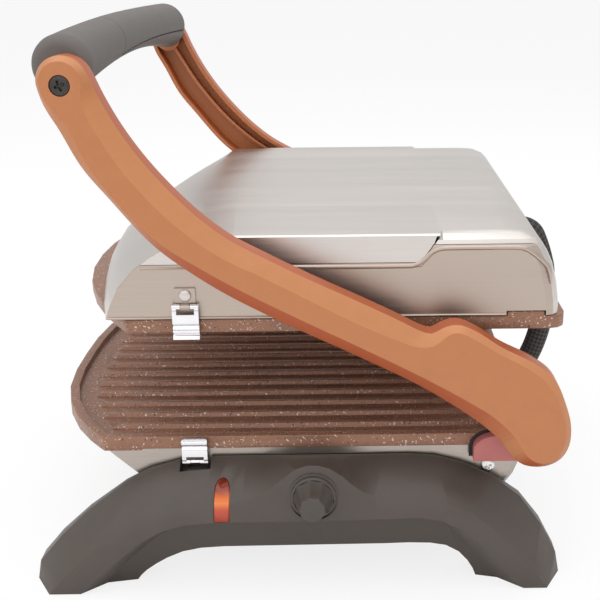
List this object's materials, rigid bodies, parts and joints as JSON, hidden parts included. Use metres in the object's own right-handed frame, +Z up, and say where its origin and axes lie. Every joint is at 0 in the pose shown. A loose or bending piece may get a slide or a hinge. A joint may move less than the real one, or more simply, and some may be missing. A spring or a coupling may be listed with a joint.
{
  "type": "countertop sandwich maker",
  "caption": "Sandwich maker with a ribbed lower plate, a floating steel lid on bent arms with a cross grip, arched stands, a control knob and a lamp.",
  "frame": {"origin": "middle of the whole machine's box, on the surface it stands on, with the grip raised as in the picture", "axes": "+Z up; +X from the grip and front to the hinge and rear; +Y from the side with the control knob to the other side"},
  "size_m": [0.3153, 0.3334, 0.3056],
  "materials": {
    "stand_plastic": "fine satin moulding",
    "knob_plastic": "satin",
    "cover_plastic": "matte moulding",
    "foot_rubber": "matte",
    "pad_rubber": "matte silicone",
    "lens": "clear amber, lit from behind",
    "lamp": "clear",
    "ceramic_body": "unglazed",
    "bright_steel": "zinc plated",
    "dark_screw": "black oxide",
    "housing_steel": "polished stainless sheet",
    "lid_steel": "satin to mirror stainless sheet",
    "nonstick_plate": "speckled brown non-stick coating on cast aluminium",
    "element_steel": "oxidised steel sheath",
    "reflector_sheet": "mill finish sheet",
    "bracket_plastic": "heat-proof moulding, satin gloss",
    "arm_paint": "satin copper paint on a moulding",
    "grip_soft": "soft touch, matte",
    "clip_nickel": "bright nickel",
    "gland_plastic": "matte",
    "conduit_braid": "braided sleeve"
  },
  "bodies": {
    "base": {"control_stand": "stand_plastic", "plain_stand": "stand_plastic", "foot_front_near": "foot_rubber", "foot_rear_near": "foot_rubber", "foot_front_far": "foot_rubber", "foot_rear_far": "foot_rubber", "indicator_lens": "lens", "indicator_lamp": "lamp", "thermostat": "ceramic_body", "lower_housing": "housing_steel", "bottom_cover": "cover_plastic", "lower_plate": "nonstick_plate", "lower_heating_element": "element_steel", "lower_reflector": "reflector_sheet", "hinge_bracket_near": "bracket_plastic", "hinge_bracket_far": "bracket_plastic", "bracket_pad_near": "pad_rubber", "bracket_pad_far": "pad_rubber", "bracket_screw_near": "bright_steel", "bracket_screw_far": "bright_steel", "lower_clip_leaf_near": "clip_nickel", "lower_clip_leaf_far": "clip_nickel", "base_gland": "gland_plastic", "cord_inlet": "gland_plastic", "terminal_block": "ceramic_body", "braided_conduit": "conduit_braid"},
    "knob": {"control_knob": "knob_plastic", "knob_shaft": "bright_steel"},
    "hinge": {"hinge_pin_near": "bright_steel", "hinge_pin_far": "bright_steel"},
    "handle": {"arm_near": "arm_paint", "arm_far": "arm_paint", "handle_bar": "bright_steel", "grip_sleeve": "grip_soft", "grip_insert": "grip_soft", "grip_screw_near": "dark_screw", "grip_screw_far": "dark_screw", "lid_pin_near": "bright_steel", "lid_pin_far": "bright_steel"},
    "lid": {"lid_cover": "lid_steel", "lid_side_near": "lid_steel", "lid_side_far": "lid_steel", "upper_plate": "nonstick_plate", "upper_heating_element": "element_steel", "upper_reflector": "reflector_sheet", "thermal_fuse": "ceramic_body", "upper_clip_leaf_near": "clip_nickel", "upper_clip_leaf_far": "clip_nickel", "clip_rivet_near": "clip_nickel", "clip_rivet_far": "clip_nickel", "lid_gland": "gland_plastic"},
    "upper_near_clip": {"upper_clip_near": "clip_nickel"},
    "upper_far_clip": {"upper_clip_far": "clip_nickel"},
    "lower_near_clip": {"lower_clip_near": "clip_nickel"},
    "lower_far_clip": {"lower_clip_far": "clip_nickel"}
  },
  "joints": [
    {"name": "lid_open", "type": "hinge", "parent": "base", "child": "hinge", "pos_m": [0.12025, 0.00675, 0.1], "axis": [0, 1, 0], "range_deg": [0, 62], "deforming": ["braided_conduit"]},
    {"name": "handle_press", "type": "hinge", "parent": "hinge", "child": "handle", "pos_m": [0.12025, 0.00675, 0.1], "axis": [0, 1, 0], "range_deg": [-29.3, 0], "deforming": ["braided_conduit"]},
    {"name": "lid_float", "type": "hinge", "parent": "handle", "child": "lid", "pos_m": [0.01175, 0.00675, 0.158], "axis": [0, 1, 0], "range_deg": [0, 29.3], "deforming": ["braided_conduit"]},
    {"name": "knob_turn", "type": "hinge", "parent": "base", "child": "knob", "pos_m": [0.00115, -0.15145, 0.0585], "axis": [0, 1, 0], "range_deg": [0, 270]},
    {"name": "upper_near_clip_release", "type": "hinge", "parent": "lid", "child": "upper_near_clip", "pos_m": [-0.06545, -0.12845, 0.16], "axis": [-1, 0, 0], "range_deg": [0, 15], "stiffness_Nm_per_rad": 0.05},
    {"name": "upper_far_clip_release", "type": "hinge", "parent": "lid", "child": "upper_far_clip", "pos_m": [-0.06545, 0.14195, 0.16], "axis": [1, 0, 0], "range_deg": [0, 15], "stiffness_Nm_per_rad": 0.05},
    {"name": "lower_near_clip_release", "type": "hinge", "parent": "base", "child": "lower_near_clip", "pos_m": [-0.06525, -0.12845, 0.069], "axis": [1, 0, 0], "range_deg": [0, 15], "stiffness_Nm_per_rad": 0.05},
    {"name": "lower_far_clip_release", "type": "hinge", "parent": "base", "child": "lower_far_clip", "pos_m": [-0.06525, 0.14195, 0.069], "axis": [-1, 0, 0], "range_deg": [0, 15], "stiffness_Nm_per_rad": 0.05}
  ],
  "couplings": [
    {"joint": "lid_float", "follows": "handle_press", "ratio": -1}
  ]
}
